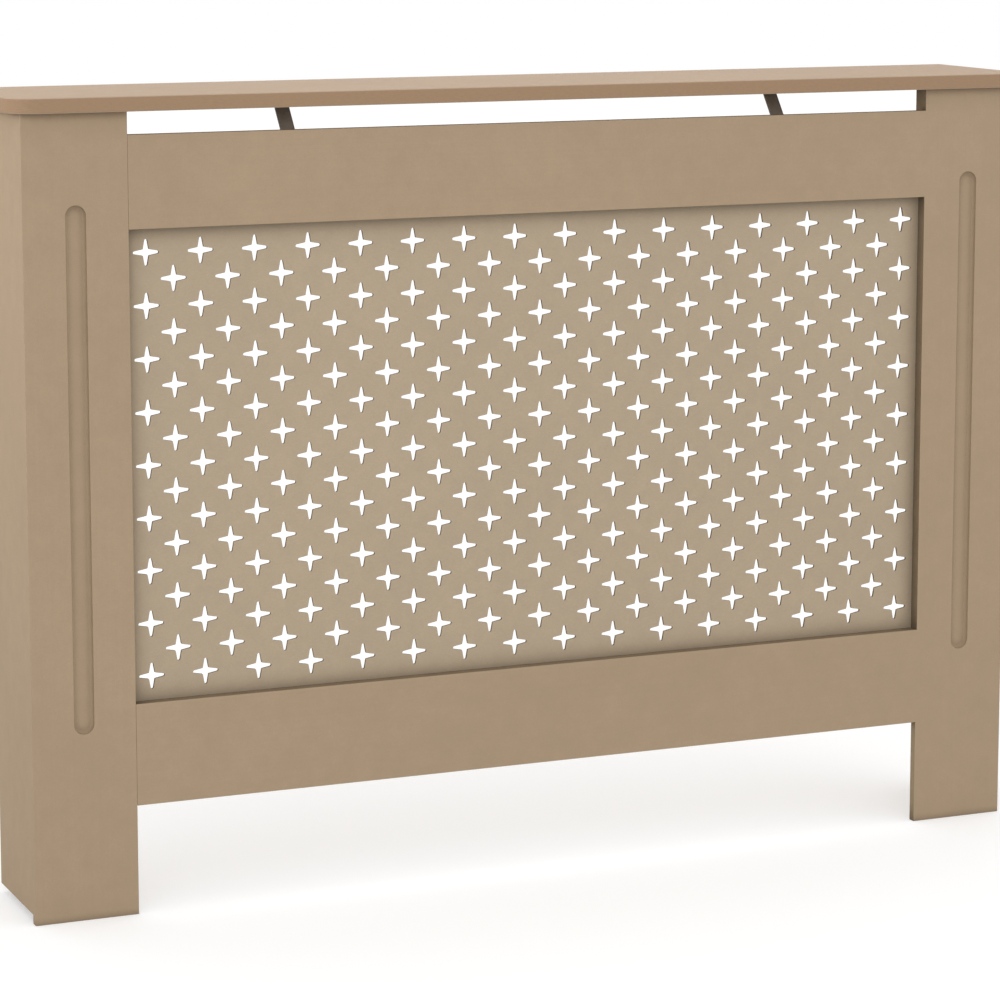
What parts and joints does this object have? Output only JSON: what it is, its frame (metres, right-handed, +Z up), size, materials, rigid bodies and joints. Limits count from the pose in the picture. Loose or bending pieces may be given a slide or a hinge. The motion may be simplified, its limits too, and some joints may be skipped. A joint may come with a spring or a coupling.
{
  "type": "radiator cover cabinet",
  "caption": "Open-backed cabinet of bare fibreboard that stands over a wall radiator: a shelf on grooved uprights and rails, with a star-perforated grille panel between them.",
  "frame": {"origin": "on the floor, under the middle of the shelf", "axes": "+X to the cabinet's right as seen from the front, +Y towards the wall behind it, +Z up; the front faces -Y"},
  "size_m": [1.12, 0.19, 0.815],
  "materials": {
    "mdf": "bare sanded MDF, matt",
    "mdf_shelf": "bare sanded MDF, matt",
    "hardboard": "bare thin fibreboard, matt",
    "softwood": "planed softwood, bare",
    "beech": "turned beech, bare",
    "dark_steel": "dark brown-grey, satin",
    "zinc_steel": "zinc plated, dull"
  },
  "bodies": {
    "root": {"shelf": "mdf_shelf", "stile_left": "mdf", "stile_right": "mdf", "top_rail": "mdf", "bottom_rail": "mdf", "side_panel_left": "mdf", "side_panel_right": "mdf", "grille_panel": "hardboard", "stile_batten_left": "mdf", "stile_batten_right": "mdf", "rail_backing_top": "mdf", "rail_backing_bottom": "mdf", "corner_batten_left": "softwood", "corner_batten_right": "softwood", "shelf_cleat_left": "softwood", "shelf_cleat_right": "softwood", "shelf_brace_left": "dark_steel", "shelf_brace_right": "dark_steel", "wall_bracket_left": "zinc_steel", "wall_bracket_right": "zinc_steel", "frame_dowel_top_left_1": "beech", "frame_dowel_top_left_2": "beech", "frame_dowel_top_right_1": "beech", "frame_dowel_top_right_2": "beech", "frame_dowel_bottom_left_1": "beech", "frame_dowel_bottom_left_2": "beech", "frame_dowel_bottom_right_1": "beech", "frame_dowel_bottom_right_2": "beech", "brace_screw_left_lower_1": "dark_steel", "brace_screw_left_lower_2": "dark_steel", "brace_screw_left_upper_1": "dark_steel", "brace_screw_left_upper_2": "dark_steel", "brace_screw_right_lower_1": "dark_steel", "brace_screw_right_lower_2": "dark_steel", "brace_screw_right_upper_1": "dark_steel", "brace_screw_right_upper_2": "dark_steel", "corner_screw_left_1": "zinc_steel", "corner_screw_left_2": "zinc_steel", "corner_screw_left_3": "zinc_steel", "corner_screw_right_1": "zinc_steel", "corner_screw_right_2": "zinc_steel", "corner_screw_right_3": "zinc_steel", "shelf_screw_left_1": "zinc_steel", "shelf_screw_left_2": "zinc_steel", "shelf_screw_right_1": "zinc_steel", "shelf_screw_right_2": "zinc_steel", "bracket_screw_left_1": "zinc_steel", "bracket_screw_left_2": "zinc_steel", "bracket_screw_right_1": "zinc_steel", "bracket_screw_right_2": "zinc_steel"}
  },
  "joints": []
}
